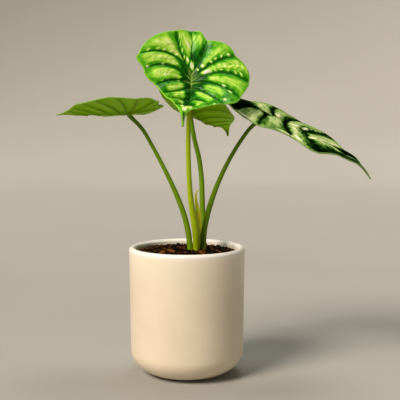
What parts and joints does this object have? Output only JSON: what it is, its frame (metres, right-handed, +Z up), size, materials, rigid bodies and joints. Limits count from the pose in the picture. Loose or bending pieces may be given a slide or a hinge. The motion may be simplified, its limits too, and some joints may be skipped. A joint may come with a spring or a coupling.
{
  "type": "potted dragon scale alocasia",
  "caption": "Young aroid house plant with quilted shield-shaped leaves on slender stems, in a plain off-white ceramic pot with a rounded bottom.",
  "frame": {"origin": "middle of the pot's flat bottom, on the surface it stands on", "axes": "+Z up along the pot's axis; -Y towards the viewer of the picture; +X to the viewer's right"},
  "size_m": [0.3253, 0.2028, 0.3518],
  "materials": {
    "pot_glaze": "satin",
    "potting_mix": "matte",
    "leaf_bright": "satin",
    "leaf_olive": "satin",
    "leaf_dark": "satin",
    "stem_yellow": "satin",
    "stem_green": "satin",
    "leaf_young": "satin"
  },
  "bodies": {
    "root": {"pot": "pot_glaze", "soil": "potting_mix", "blade_front": "leaf_bright", "blade_left": "leaf_olive", "blade_right": "leaf_dark", "blade_back": "leaf_olive", "petiole_front": "stem_yellow", "petiole_left": "stem_green", "petiole_right": "stem_green", "petiole_back": "stem_green", "new_leaf": "leaf_young"}
  },
  "joints": []
}
